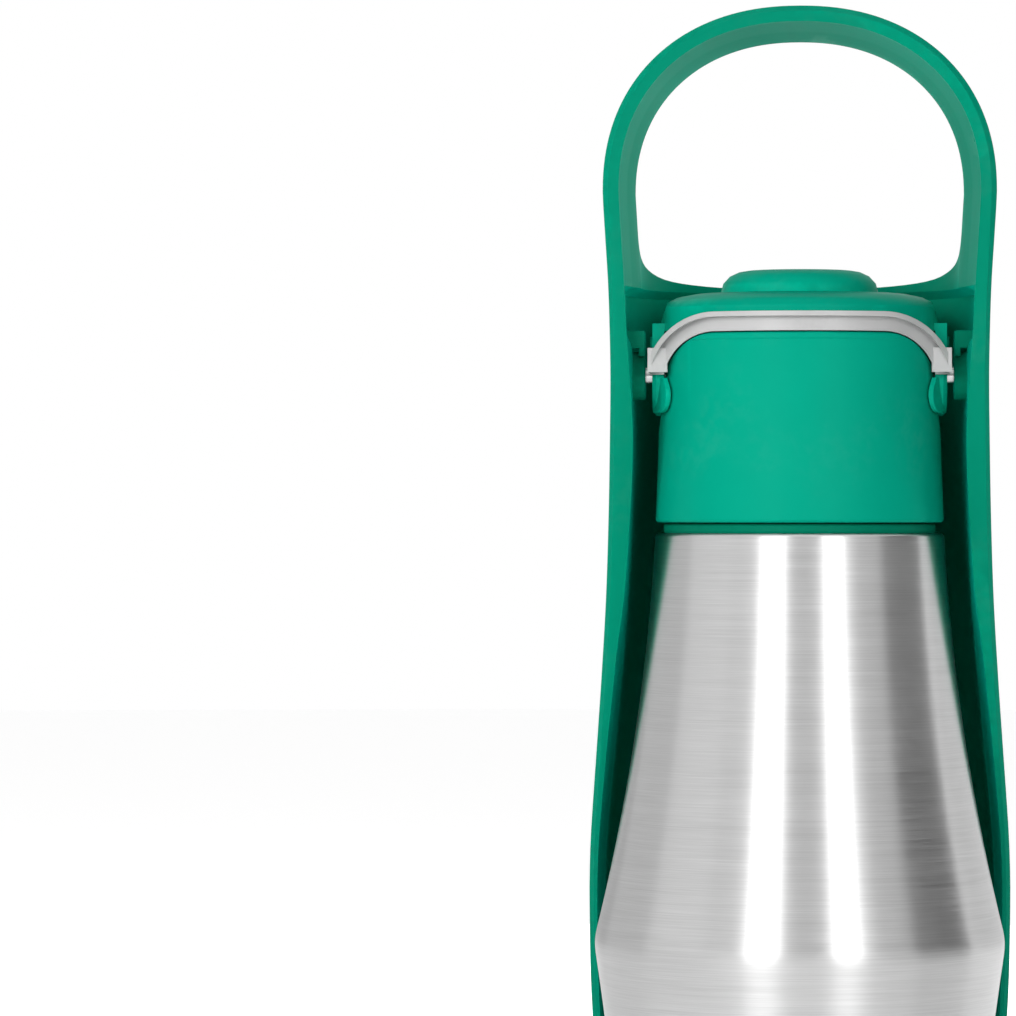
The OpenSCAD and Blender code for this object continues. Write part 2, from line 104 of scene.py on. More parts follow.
class Finishes(bpy.types.PropertyGroup):
    """Colours of the plastics, the steel and the soft parts"""

    trough_green: tint("Trough", "Green of the trough and its loop", (0.0, 0.25, 0.15))
    cap_green: tint("Cap", "Green of the collar and the lid", (0.0, 0.35, 0.23))
    ring_green: tint("Neck ring", "Green of the ring between collar and steel", (0.0, 0.18, 0.105))
    steel: tint("Steel", "Colour of the brushed steel", (0.6, 0.6, 0.6))
    silicone: tint("Silicone", "Colour of the seals", (0.5, 0.5, 0.5))
    rubber: tint("Rubber", "Colour of the foot pad", (0.035, 0.04, 0.04))
    backdrop: tint("Backdrop", "Colour of the floor and the studio", (1.0, 1.0, 1.0))


# ---- node helpers -------------------------------------------------------------------------------
def put(tree, kind, place=(0, 0), **settings):
    """A new node in a tree, with its settings."""
    node = tree.nodes.new(kind)
    node.location = place
    for key, value in settings.items():
        setattr(node, key, value)
    return node


def feed(tree, socket, value):
    """Links an output to a socket, or writes a plain value on it."""
    if isinstance(value, bpy.types.NodeSocket):
        tree.links.new(value, socket)
    else:
        socket.default_value = value


def calc(tree, operation, *values):
    """A Math node with its inputs fed, and its result."""
    node = put(tree, "ShaderNodeMath", operation=operation)
    for socket, value in zip(node.inputs, values):
        feed(tree, socket, value)
    return node.outputs[0]


def arithmetic(tree):
    """Short forms of the four sums that a tree's fields are made of."""
    return [
        lambda a, b, operation=operation: calc(tree, operation, a, b)
        for operation in ("ADD", "SUBTRACT", "MULTIPLY", "DIVIDE")
    ]


def tool_group(name, kind, inputs, outputs):
    """An empty node group with named sockets, and its two end nodes."""
    tree = bpy.data.node_groups.new(name, kind)
    for label, socket, default in inputs:
        item = tree.interface.new_socket(name=label, in_out="INPUT", socket_type=socket)
        if default is not None:
            item.default_value = default
    for label, socket in outputs:
        tree.interface.new_socket(name=label, in_out="OUTPUT", socket_type=socket)
    start = put(tree, "NodeGroupInput", (-900, 0))
    end = put(tree, "NodeGroupOutput", (900, 0))
    return tree, start.outputs, end.inputs


FLOAT, VECTOR = "NodeSocketFloat", "NodeSocketVector"


def noise(tree, vector, scale, detail=2.0, roughness=0.5):
    """A noise field and its value."""
    node = put(tree, "ShaderNodeTexNoise", noise_dimensions="3D")
    feed(tree, node.inputs["Vector"], vector)
    feed(tree, node.inputs["Scale"], scale)
    feed(tree, node.inputs["Detail"], detail)
    feed(tree, node.inputs["Roughness"], roughness)
    return node.outputs["Fac"]


def stretch(tree, value, low, high, to_low=0.0, to_high=1.0):
    """A Map Range node, clamped."""
    node = put(tree, "ShaderNodeMapRange", clamp=True)
    for socket, item in zip(node.inputs, (value, low, high, to_low, to_high)):
        feed(tree, socket, item)
    return node.outputs[0]


def moulded_skin_group():
    """Fine spark texture of a moulded surface, with slow tone drift."""
    tree, given, made = tool_group(
        "moulded_skin",
        "ShaderNodeTree",
        [("Vector", VECTOR, None), ("Grains per metre", FLOAT, 2600.0)],
        [("Height", FLOAT), ("Tone", FLOAT)],
    )
    fine = noise(tree, given["Vector"], given["Grains per metre"], 3.0, 0.62)
    coarse = noise(tree, given["Vector"], calc(tree, "MULTIPLY", given["Grains per metre"], 0.31), 1.0)
    both = calc(tree, "ADD", calc(tree, "MULTIPLY", fine, 0.7), calc(tree, "MULTIPLY", coarse, 0.3))
    feed(tree, made["Height"], both)
    feed(tree, made["Tone"], noise(tree, given["Vector"], 38.0, 3.0, 0.55))
    return tree


def brush_lines_group():
    """Lines left by a belt that brushed the steel round its axis."""
    tree, given, made = tool_group(
        "brush_lines",
        "ShaderNodeTree",
        [("Vector", VECTOR, None), ("Lines per metre", FLOAT, 5200.0), ("Line length", FLOAT, 0.02)],
        [("Height", FLOAT), ("Streak", FLOAT)],
    )
    parts = put(tree, "ShaderNodeSeparateXYZ")
    feed(tree, parts.inputs[0], given["Vector"])
    slow = calc(tree, "DIVIDE", 1.0, given["Line length"])
    joined = put(tree, "ShaderNodeCombineXYZ")
    feed(tree, joined.inputs[0], calc(tree, "MULTIPLY", parts.outputs[0], slow))
    feed(tree, joined.inputs[1], calc(tree, "MULTIPLY", parts.outputs[1], slow))
    feed(tree, joined.inputs[2], calc(tree, "MULTIPLY", parts.outputs[2], given["Lines per metre"]))
    lines = noise(tree, joined.outputs[0], 1.0, 3.0, 0.7)
    wide = put(tree, "ShaderNodeVectorMath", operation="MULTIPLY")
    feed(tree, wide.inputs[0], joined.outputs[0])
    feed(tree, wide.inputs[1], (0.4, 0.4, 0.13))
    bands = noise(tree, wide.outputs[0], 1.0, 2.0)
    feed(tree, made["Height"], lines)
    both = calc(tree, "ADD", calc(tree, "MULTIPLY", lines, 0.8), calc(tree, "MULTIPLY", bands, 0.2))
    feed(tree, made["Streak"], stretch(tree, both, 0.3, 0.7))
    return tree


def edge_highlight_and_polish_group():
    """Convex moulded edges found by pointiness: a mask for a painted highlight in the colour, and for polish from
    handling in the roughness.
    """
    tree, given, made = tool_group(
        "edge_highlight_and_polish",
        "ShaderNodeTree",
        [("Vector", VECTOR, None), ("Start", FLOAT, 0.52), ("Full", FLOAT, 0.6)],
        [("Mask", FLOAT)],
    )
    geometry = put(tree, "ShaderNodeNewGeometry")
    edge = stretch(tree, geometry.outputs["Pointiness"], given["Start"], given["Full"])
    broken = stretch(tree, noise(tree, given["Vector"], 420.0, 4.0, 0.6), 0.35, 0.6, 0.35, 1.0)
    feed(tree, made["Mask"], calc(tree, "MULTIPLY", edge, broken))
    return tree


def water_dust_group():
    """Dried drops and dust in patches."""
    tree, given, made = tool_group(
        "water_dust",
        "ShaderNodeTree",
        [("Vector", VECTOR, None), ("Patches per metre", FLOAT, 60.0)],
        [("Mask", FLOAT)],
    )
    patch = noise(tree, given["Vector"], given["Patches per metre"], 5.0, 0.6)
    spots = noise(tree, given["Vector"], calc(tree, "MULTIPLY", given["Patches per metre"], 9.0), 2.0)
    feed(
        tree,
        made["Mask"],
        calc(tree, "MULTIPLY", stretch(tree, patch, 0.48, 0.72), stretch(tree, spots, 0.4, 0.62)),
    )
    return tree


def effect(name, build):
    """The shared node group of that name, built once."""
    return bpy.data.node_groups.get(name) or build()


def place_effect(tree, group, **inputs):
    """Puts a shared effect in a material and feeds it."""
    node = put(tree, "ShaderNodeGroup", node_tree=group)
    for key, value in inputs.items():
        feed(tree, node.inputs[key.replace("_", " ")], value)
    return node.outputs


def new_finish(name):
    """An empty material with its shader and the object's coordinates."""
    material = bpy.data.materials.new(name)
    material.use_nodes = True
    tree = material.node_tree
    shader = tree.nodes["Principled BSDF"]
    coordinates = put(tree, "ShaderNodeTexCoord", (-1200, 0))
    return material, tree, shader, coordinates.outputs["Object"]


def blend_colour(tree, amount, first, second):
    """A colour between two by a mask."""
    node = put(tree, "ShaderNodeMix", data_type="RGBA")
    feed(tree, node.inputs["Factor"], amount)
    feed(tree, node.inputs[6], first if isinstance(first, bpy.types.NodeSocket) else (*first, 1.0))
    feed(tree, node.inputs[7], second if isinstance(second, bpy.types.NodeSocket) else (*second, 1.0))
    return node.outputs[2]


def bump(tree, shader, height, strength, distance):
    """Raises the surface by a height field."""
    node = put(tree, "ShaderNodeBump")
    feed(tree, node.inputs["Strength"], strength)
    feed(tree, node.inputs["Distance"], distance)
    feed(tree, node.inputs["Height"], height)
    feed(tree, shader.inputs["Normal"], node.outputs[0])


def shade(colour, factor):
    """A colour made darker or lighter."""
    return tuple(min(1.0, c * factor) for c in colour)


MINT = (0.0, 1.0, 0.72, 1.0)


def moulded_plastic(name, colour, roughness=0.5, grains=2600.0, relief=0.22, gloss=0.03, sheen=0.15):
    """Satin moulded plastic with a spark texture."""
    material, tree, shader, where = new_finish(name)
    skin = place_effect(tree, effect("moulded_skin", moulded_skin_group), Vector=where, Grains_per_metre=grains)
    highlit_polished_edge = place_effect(tree, effect("edge_highlight_and_polish", edge_highlight_and_polish_group), Vector=where)
    dust = place_effect(tree, effect("water_dust", water_dust_group), Vector=where)
    tone = blend_colour(tree, skin["Tone"], shade(colour, 0.94), shade(colour, 1.06))
    # Painted highlight: the convex edges are lightened towards 1.5 times the colour; only the lower roughness below
    # is real polish.
    pale = blend_colour(tree, calc(tree, "MULTIPLY", highlit_polished_edge["Mask"], 0.35), tone, shade(colour, 1.5))
    dusty = tuple(c + 0.03 for c in colour)
    worn = blend_colour(tree, calc(tree, "MULTIPLY", dust["Mask"], 0.3), pale, dusty)
    feed(tree, shader.inputs["Base Color"], worn)
    polished = calc(tree, "MULTIPLY", highlit_polished_edge["Mask"], -0.12)
    rough = calc(tree, "ADD", stretch(tree, skin["Tone"], 0.3, 0.7, roughness - 0.03, roughness + 0.05), polished)
    feed(tree, shader.inputs["Roughness"], calc(tree, "ADD", rough, calc(tree, "MULTIPLY", dust["Mask"], 0.1)))
    bump(tree, shader, skin["Height"], relief, 0.00006)
    shader.inputs["Specular IOR Level"].default_value = gloss
    shader.inputs["Sheen Weight"].default_value = sheen
    shader.inputs["Sheen Roughness"].default_value = 0.4
    shader.inputs["Sheen Tint"].default_value = MINT
    return material


def brushed_steel(name, colour, roughness=0.32, lines=5200.0, pull=0.85):
    """Steel brushed round the bottle's axis."""
    material, tree, shader, where = new_finish(name)
    brush = place_effect(tree, effect("brush_lines", brush_lines_group), Vector=where, Lines_per_metre=lines)
    dust = place_effect(tree, effect("water_dust", water_dust_group), Vector=where, Patches_per_metre=24.0)
    metal = blend_colour(tree, brush["Streak"], shade(colour, 0.87), shade(colour, 1.1))
    feed(tree, shader.inputs["Base Color"], metal)
    rough = stretch(tree, brush["Streak"], 0.0, 1.0, roughness - 0.04, roughness + 0.05)
    feed(tree, shader.inputs["Roughness"], calc(tree, "ADD", rough, calc(tree, "MULTIPLY", dust["Mask"], 0.04)))
    bump(tree, shader, brush["Height"], 0.09, 0.000025)
    tangent = put(tree, "ShaderNodeTangent", direction_type="RADIAL", axis="Z")
    feed(tree, shader.inputs["Tangent"], tangent.outputs[0])
    shader.inputs["Metallic"].default_value = 1.0
    shader.inputs["Anisotropic"].default_value = pull
    shader.inputs["Anisotropic Rotation"].default_value = 0.25
    return material


def turned_steel(name, colour, roughness=0.2):
    """Plain drawn or turned steel of the inner parts and pins."""
    material, tree, shader, where = new_finish(name)
    skin = place_effect(tree, effect("moulded_skin", moulded_skin_group), Vector=where, Grains_per_metre=1500.0)
    dust = place_effect(tree, effect("water_dust", water_dust_group), Vector=where, Patches_per_metre=90.0)
    metal = blend_colour(tree, skin["Tone"], shade(colour, 0.92), shade(colour, 1.06))
    feed(tree, shader.inputs["Base Color"], metal)
    rough = stretch(tree, skin["Tone"], 0.3, 0.7, roughness - 0.03, roughness + 0.06)
    feed(tree, shader.inputs["Roughness"], calc(tree, "ADD", rough, calc(tree, "MULTIPLY", dust["Mask"], 0.1)))
    bump(tree, shader, skin["Height"], 0.1, 0.00003)
    shader.inputs["Metallic"].default_value = 1.0
    return material


def soft_silicone(name, colour, roughness=0.38):
    """Milky silicone of the seals."""
    material, tree, shader, where = new_finish(name)
    skin = place_effect(tree, effect("moulded_skin", moulded_skin_group), Vector=where, Grains_per_metre=1900.0)
    dust = place_effect(tree, effect("water_dust", water_dust_group), Vector=where, Patches_per_metre=130.0)
    milky = blend_colour(tree, skin["Tone"], shade(colour, 0.95), shade(colour, 1.04))
    grubby = blend_colour(tree, calc(tree, "MULTIPLY", dust["Mask"], 0.25), milky, shade(colour, 0.8))
    feed(tree, shader.inputs["Base Color"], grubby)
    feed(tree, shader.inputs["Roughness"], stretch(tree, skin["Tone"], 0.3, 0.7, roughness - 0.05, roughness + 0.07))
    bump(tree, shader, skin["Height"], 0.12, 0.00005)
    shader.inputs["Subsurface Weight"].default_value = 0.12
    shader.inputs["Subsurface Radius"].default_value = (0.002, 0.002, 0.002)
    shader.inputs["Subsurface Scale"].default_value = 1.0
    return material


def foot_rubber(name, colour):
    """Dull black rubber of the foot."""
    material, tree, shader, where = new_finish(name)
    skin = place_effect(tree, effect("moulded_skin", moulded_skin_group), Vector=where, Grains_per_metre=1200.0)
    dust = place_effect(tree, effect("water_dust", water_dust_group), Vector=where, Patches_per_metre=150.0)
    tone = blend_colour(tree, skin["Tone"], shade(colour, 0.8), shade(colour, 1.25))
    grey = blend_colour(tree, calc(tree, "MULTIPLY", dust["Mask"], 0.6), tone, (0.12, 0.12, 0.115))
    feed(tree, shader.inputs["Base Color"], grey)
    feed(tree, shader.inputs["Roughness"], stretch(tree, skin["Tone"], 0.3, 0.7, 0.62, 0.78))
    bump(tree, shader, skin["Height"], 0.5, 0.0001)
    return material


# ---- mesh helpers -------------------------------------------------------------------------------
WELD = 2e-6
FLAT_DEGREES = 0.3


def link_mesh(name, mesh):
    """A new object in the scene that holds a mesh."""
    piece = bpy.data.objects.new(name, mesh)
    bpy.context.scene.collection.objects.link(piece)
    return piece


def give(piece, material):
    """Puts one material on a piece, in place of what it has."""
    piece.data.materials.clear()
    piece.data.materials.append(material)


def dress(material, *nodes):
    """Gives CAD nodes their finish."""
    for node in nodes:
        give(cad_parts[node], material)


def settle(piece):
    """Turns a piece with modifiers into a plain mesh and drops the modifiers."""
    graph = bpy.context.evaluated_depsgraph_get()
    mesh = bpy.data.meshes.new_from_object(piece.evaluated_get(graph), depsgraph=graph)
    piece.modifiers.clear()
    piece.data = mesh
    mesh.name = piece.name
    return piece


def sizes():
    """The user's sizes and colours."""
    scene = bpy.context.scene
    return scene.bottle_steel, scene.bottle_trough, scene.bottle_finish


def soften(piece, width, limit=32.0):
    """Rounds the edges that turn by more than limit degrees as a mould would, and evens out the shading."""
    round_off = piece.modifiers.new("round_off", "BEVEL")
    round_off.width = width
    round_off.segments = 2
    round_off.limit_method = "ANGLE"
    round_off.angle_limit = math.radians(limit)
    round_off.use_clamp_overlap = True
    round_off.miter_outer = "MITER_ARC"
    even = piece.modifiers.new("even", "WEIGHTED_NORMAL")
    even.keep_sharp = True
    return settle(piece)


def clean_copy(node, name):
    """A merged copy of a CAD node's mesh, with its flat faces joined again."""
    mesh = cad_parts[node].data.copy()
    mesh.name = name
    work = bmesh.new()
    work.from_mesh(mesh)
    bmesh.ops.remove_doubles(work, verts=work.verts, dist=WELD)
    bmesh.ops.dissolve_degenerate(work, edges=work.edges, dist=WELD / 2)
    bmesh.ops.dissolve_limit(
        work, angle_limit=math.radians(FLAT_DEGREES), verts=work.verts, edges=work.edges, delimit={"NORMAL"}
    )
    for face in work.faces:
        face.smooth = True
    work.to_mesh(mesh)
    work.free()
    return link_mesh(name, mesh)


def rounded_node(node, name, body, material, width):
    """A softened piece that stands for a CAD node and rides where it does."""
    piece = clean_copy(node, name)
    give(piece, material)
    soften(piece, width)
    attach(piece, body)
    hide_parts(node)
    return piece


# ---- steel shell --------------------------------------------------------------------------------
SHOULDER_ROUND = 0.7 * MM
HEM_HEIGHT, HEM_DEPTH = 1.0 * MM, 0.7 * MM
ROW_CROWDING = 1.7
UPPER_SLOPE = 0.35
LOWER_POWER = 1.88


def turned_sheet(tree, around, rows, radius, height):
    """A sheet turned round Z. radius and height take the field that runs from 0 to 1 up the sheet."""
    grid = put(tree, "GeometryNodeMeshGrid")
    feed(tree, grid.inputs["Size X"], 1.0)
    feed(tree, grid.inputs["Size Y"], 1.0)
    feed(tree, grid.inputs["Vertices X"], around)
    feed(tree, grid.inputs["Vertices Y"], rows)
    parts = put(tree, "ShaderNodeSeparateXYZ")
    feed(tree, parts.inputs[0], put(tree, "GeometryNodeInputPosition").outputs[0])
    turn = calc(tree, "MULTIPLY", calc(tree, "ADD", parts.outputs[0], 0.5), math.tau)
    up = calc(tree, "ADD", parts.outputs[1], 0.5)
    level = height(up)
    reach = radius(up, level)
    spot = put(tree, "ShaderNodeCombineXYZ")
    feed(tree, spot.inputs[0], calc(tree, "MULTIPLY", reach, calc(tree, "COSINE", turn)))
    feed(tree, spot.inputs[1], calc(tree, "MULTIPLY", reach, calc(tree, "SINE", turn)))
    feed(tree, spot.inputs[2], level)
    moved = put(tree, "GeometryNodeSetPosition")
    feed(tree, moved.inputs["Geometry"], grid.outputs["Mesh"])
    feed(tree, moved.inputs["Position"], spot.outputs[0])
    return moved.outputs[0]


def steel_shell_tree():
    """Geometry Nodes tree of the steel shell.

    Two flared walls meet in a soft edge. A round shoulder and a ledge close them at the top.
    """
    tree, given, made = tool_group(
        "steel_shell",
        "GeometryNodeTree",
        [
            ("Top", FLOAT, 0.1747),
            ("Foot", FLOAT, 0.0012),
            ("Belly height", FLOAT, 0.1001),
            ("Belly radius", FLOAT, 0.03765),
            ("Belly round", FLOAT, 0.00134),
            ("Shoulder radius", FLOAT, 0.0264),
            ("Foot radius", FLOAT, 0.0296),
            ("Neck radius", FLOAT, 0.02205),
            ("Sheet", FLOAT, 0.0008),
            ("Around", "NodeSocketInt", 160),
            ("Material", "NodeSocketMaterial", None),
        ],
        [("Geometry", "NodeSocketGeometry")],
    )
    add, less, times, over = arithmetic(tree)
    shoulder_z = less(given["Top"], SHOULDER_ROUND)
    low_z = add(given["Foot"], HEM_HEIGHT)

    def wall_height(up):
        """Rows that crowd towards the belly's edge."""
        way = times(less(up, 0.5), 2.0)
        far = calc(tree, "POWER", calc(tree, "ABSOLUTE", way), ROW_CROWDING)
        above = times(far, less(shoulder_z, given["Belly height"]))
        below = times(far, less(low_z, given["Belly height"]))
        is_up = calc(tree, "GREATER_THAN", way, 0.0)
        change = add(times(is_up, above), times(less(1.0, is_up), below))
        return add(given["Belly height"], change)

    def wall_radius(level, inset=0.0):
        """Upper flare and lower flare, joined by a smooth minimum."""
        t = over(less(given["Top"], level), less(given["Top"], given["Belly height"]))
        rise = add(times(t, UPPER_SLOPE), times(times(t, t), 1.0 - UPPER_SLOPE))
        upper = add(given["Shoulder radius"], times(less(given["Belly radius"], given["Shoulder radius"]), rise))
        part = calc(tree, "POWER", over(level, given["Belly height"]), LOWER_POWER)
        lower = add(given["Foot radius"], times(less(given["Belly radius"], given["Foot radius"]), part))
        return less(calc(tree, "SMOOTH_MIN", upper, lower, given["Belly round"]), inset)

    def quarter(wave, up):
        """Sine or cosine of the quarter turn that a rounded edge makes."""
        return calc(tree, wave, times(up, math.pi / 2))

    def sheet(rows, radius, height):
        return turned_sheet(tree, given["Around"], rows, radius, height)

    shoulder_r = wall_radius(shoulder_z)
    ledge_r = less(shoulder_r, SHOULDER_ROUND)
    foot_r = less(wall_radius(low_z), HEM_DEPTH)
    inner_top = less(given["Top"], given["Sheet"])
    inner_foot_r = wall_radius(given["Foot"], given["Sheet"])
    hem = sheet(
        4,
        lambda up, level: add(foot_r, times(quarter("SINE", up), HEM_DEPTH)),
        lambda up: less(low_z, times(quarter("COSINE", up), HEM_HEIGHT)),
    )
    walls = sheet(121, lambda up, level: wall_radius(level), wall_height)
    shoulder = sheet(
        7,
        lambda up, level: less(shoulder_r, times(less(1.0, quarter("COSINE", up)), SHOULDER_ROUND)),
        lambda up: add(shoulder_z, times(quarter("SINE", up), SHOULDER_ROUND)),
    )
    ledge = sheet(
        3,
        lambda up, level: add(ledge_r, times(up, less(given["Neck radius"], ledge_r))),
        lambda up: given["Top"],
    )
    ledge_edge = sheet(
        2,
        lambda up, level: given["Neck radius"],
        lambda up: less(given["Top"], times(up, given["Sheet"])),
    )
    ledge_underside = sheet(
        2,
        lambda up, level: add(
            given["Neck radius"], times(up, less(wall_radius(inner_top, given["Sheet"]), given["Neck radius"]))
        ),
        lambda up: inner_top,
    )
    wall_inside = sheet(
        41,
        lambda up, level: wall_radius(level, given["Sheet"]),
        lambda up: add(inner_top, times(up, less(given["Foot"], inner_top))),
    )
    foot_edge = sheet(
        2,
        lambda up, level: add(inner_foot_r, times(up, less(foot_r, inner_foot_r))),
        lambda up: given["Foot"],
    )
    sheets = [hem, walls, shoulder, ledge, ledge_edge, ledge_underside, wall_inside, foot_edge]
    together = put(tree, "GeometryNodeJoinGeometry")
    for part in reversed(sheets):
        feed(tree, together.inputs[0], part)
    welded = put(tree, "GeometryNodeMergeByDistance")
    feed(tree, welded.inputs["Geometry"], together.outputs[0])
    feed(tree, welded.inputs["Distance"], 2 * WELD)
    smooth = put(tree, "GeometryNodeSetShadeSmooth")
    feed(tree, smooth.inputs["Geometry"], welded.outputs[0])
    real = put(tree, "GeometryNodeRealizeInstances")
    feed(tree, real.inputs["Geometry"], smooth.outputs[0])
    skin = put(tree, "GeometryNodeSetMaterial")
    feed(tree, skin.inputs["Geometry"], real.outputs[0])
    feed(tree, skin.inputs["Material"], given["Material"])
    feed(tree, made["Geometry"], skin.outputs[0])
    return tree


def run_tree(name, tree, values):
    """Runs a Geometry Nodes tree with its inputs set and returns the plain result."""
    piece = link_mesh(name, bpy.data.meshes.new(name))
    maker = piece.modifiers.new("maker", "NODES")
    maker.node_group = tree
    by_name = {item.name: item.identifier for item in tree.interface.items_tree if item.in_out == "INPUT"}
    for key, value in values.items():
        maker[by_name[key]] = value
    return settle(piece)


class BOTTLE_OT_steel(bpy.types.Operator):
    """Makes the brushed steel shell and finishes the steel parts inside it"""

    bl_idname = "bottle.steel"
    bl_label = "Steel bottle"

    def execute(self, context):
        size, _, finish = sizes()
        outside = brushed_steel("steel_outer", tuple(finish.steel))
        values = {
            "Top": size.top, "Foot": size.foot, "Belly height": size.belly, "Belly radius": size.belly_radius,
            "Belly round": size.belly_round, "Shoulder radius": size.shoulder_radius,
            "Foot radius": size.foot_radius, "Neck radius": size.neck_radius, "Sheet": size.sheet,
            "Around": size.around, "Material": outside,
        }
        shell = run_tree("steel_shell", steel_shell_tree(), values)
        if not shell.data.polygons:
            raise RuntimeError("the steel shell came out empty")
        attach(shell, "bottle")
        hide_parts("outer_shell")
        inside = turned_steel("steel_inner", shade(tuple(finish.steel), 1.05), 0.28)
        dress(inside, "inner_liner", "liner_base", "shell_base")
        dress(turned_steel("pin_steel", shade(tuple(finish.steel), 1.1), 0.18),
              "pivot_pin_left", "pivot_pin_right", "stopper_screw")
        dress(foot_rubber("foot_rubber", tuple(finish.rubber)), "base_pad")
        return {"FINISHED"}


class BOTTLE_OT_cap(bpy.types.Operator):
    """Finishes the collar, the lid, the neck ring and the seals"""

    bl_idname = "bottle.cap"
    bl_label = "Collar and lid"

    def execute(self, context):
        _, _, finish = sizes()
        cap = moulded_plastic("cap_green", tuple(finish.cap_green), 0.4, sheen=0.0)
        silicone = soft_silicone("silicone", tuple(finish.silicone))
        dress(cap, "collar", "lid")
        rounded_node("collar", "screw_collar", "collar", cap, 0.45 * MM)
        rounded_node("lid", "flip_lid", "lid", cap, 0.45 * MM)
        rounded_node("lid_seal", "seal_lip", "lid", silicone, 0.25 * MM)
        dress(moulded_plastic("ring_green", tuple(finish.ring_green), 0.45, sheen=0.0), "neck_ring")
        dress(silicone, "lid_seal", "outlet_stopper", "cap_washer")
        return {"FINISHED"}


# ---- trough -------------------------------------------------------------------------------------
# Millimetres from the bottle's axis and from the hinge's height, as in the part's source.
# Each table gives a value at a height z over the hinge: RIM_BACK the rim's y, BOWL_FRONT the front's y,
# HALF_WIDTH the width to one side and RIM_FACE the rim's thickness. HOOD_TOP and HOOD_STEP give the
# height of the hood's two edges at a y. BAND_Y, LOOP_OUT and LOOP_IN go over the lines of the rim band,
# ROUND over the angles of the round front, and CREASE is the groove's depth at three of those angles.
TIP_Z, FLAT_Z, LOOP_Z, LEDGE_Z = -187.0, -60.0, 33.0, 16.0
WIDEST_Z, WIDEST = -100, 39.25
RIM_BACK = (
    (-187, -36.6), (-170, -34.4), (-150, -31.3), (-130, -27.6), (-112.5, -23.5), (-97.8, -19.6), (-79.4, -13.6),
    (-61, -6.4), (-42.7, 0.8), (-28, 6.2), (-15.4, 10.3), (-9, 12.2), (-2, 13.9), (5, 15.1), (12, 15.6), (20, 15.8),
    (40, 15.8),
)
BOWL_FRONT = (
    (-187, -37.2), (-186, -38.6), (-184, -40), (-180, -41.6), (-172, -43.8), (-160, -46.4), (-145, -49.2),
    (-130, -51.5), (-117, -52.9), (-104, -53.5), (-93, -52.7), (-85.8, -51.4), (-75, -49.1), (-64, -46),
    (-49.7, -41.6), (-35.3, -37.2), (-20.9, -33.4), (-13.6, -31.6), (-6, -29.9), (10, -28),
)
HALF_WIDTH = (
    (-100, 39.25), (-93.7, 39.2), (-86, 38.9), (-78.5, 38.35), (-67, 37.4), (-55.9, 36.5), (-41, 35.45),
    (-26.4, 34.8), (-12, 34.4), (0, 34.2), (10, 34.35), (17, 34.6), (24.2, 35.05), (33, 35.55), (40, 35.55),
)
RIM_FACE = (
    (-187, 1.5), (-97, 1.5), (-69, 1.9), (-60, 2.2), (-50, 2.6), (-41, 3.3), (-29, 3.8), (-12, 4.2), (0, 3.5),
    (10, 3.0), (40, 2.9),
)
HOOD_TOP = ((-28.6, 16.8), (-24, 17.2), (-16, 18.2), (-10, 19.6), (-6, 20.9), (-3, 22.6), (-1, 25), (0.3, 29))
HOOD_STEP = ((-28.8, -5.7), (-22, -5.3), (-15.3, -4.4), (-2.8, -0.8), (3, 3), (6.5, 6), (8, 7))
BAND_Y = (0.0, 1.0, 6.6, 8.2, 10.6, 14.0)
ROUND = (1.5, 2.6, 4, 6, 8, 11, 14, 18, 22, 27, 32, 37.5, 43, 49, 55, 61, 67, 72.5, 78, 84, 90)
LOOP_OUT = (1.0, 0.0, 0.15, 0.8, 2.3, 3.9)
LOOP_IN = (2.9, 3.0, 4.1, 4.35, 5.0, 5.6)
CREASE = {18: 0.45, 22: 1.0, 27: 0.5}
HOOD_FRONT, HOOD_FLARE = -28.4, 0.6
HOOD_BACK_Y, HOOD_SIDE_Y, HOOD_REACH = 14.4, 0.4, 29
# How far the band's crest and the wall beside it lie inside the full width, at the hood and at the tip.
HOOD_BAND, TIP_BAND = 0.55, 0.3
HOOD_SIDE, TIP_SIDE = 0.7, 0.35
TIP_POWER = 2.6
ROUND_POWER = 0.91
FULL_DEPTH = 38
LEDGE = 0.3
STEP_RISE = 0.9
TIP_LIFT = 0.1
TIP_CROWDING = 1.8
TIP_WALL = 2.4
SIDE = len(BAND_Y) + len(ROUND) - 1
ACROSS = 2 * SIDE + 1
HOOD_ROWS = [i / 30 for i in range(31)]
THICK_ROWS = 0.4
BODY_ROWS = [i / 26 * 0.97 for i in range(27)]
TAIL_ROWS = 56
LOOP_STEPS = 80


def mix(a, b, t):
    """A value between two."""
    return a + (b - a) * t


def smooth(t):
    """An even rise from 0 to 1."""
    t = min(1.0, max(0.0, t))
    return t * t * (3 - 2 * t)


def below(z, start, span):
    """0 down to the height start, 1 from a span below it."""
    return smooth((start - z) / span)


def curve(table, x):
    """A smooth curve through a table's rows."""
    i = 0
    while i < len(table) - 2 and x >= table[i + 1][0]:
        i += 1

    def slope(k):
        a, b = max(0, k - 1), min(len(table) - 1, k + 1)
        return (table[b][1] - table[a][1]) / (table[b][0] - table[a][0])

    h = table[i + 1][0] - table[i][0]
    u = min(1.0, max(0.0, (x - table[i][0]) / h))
    return (
        table[i][1] * (2 * u**3 - 3 * u**2 + 1) + table[i + 1][1] * (3 * u**2 - 2 * u**3)
        + slope(i) * h * (u**3 - 2 * u**2 + u) + slope(i + 1) * h * (u**3 - u**2)
    )


def half_width(z):
    """Half the trough's width over the rim."""
    if z > WIDEST_Z:
        return curve(HALF_WIDTH, z)
    down = (WIDEST_Z - z) / (WIDEST_Z - TIP_Z)
    return WIDEST * math.sqrt(max(0.0, 1 - down**TIP_POWER))


def front_depth(z, hood):
    """Depth of the front of the hood or of the bowl."""
    return HOOD_FRONT - HOOD_FLARE * below(z, 2, 10) if hood else curve(BOWL_FRONT, z)


def band_reach(j, z, k):
    """How far forward each line of the rim band lies: the band widens below the hinge."""
    return BAND_Y[j] * k * (1 if j < 2 else 1 + 0.5 * below(z, 0, 40))


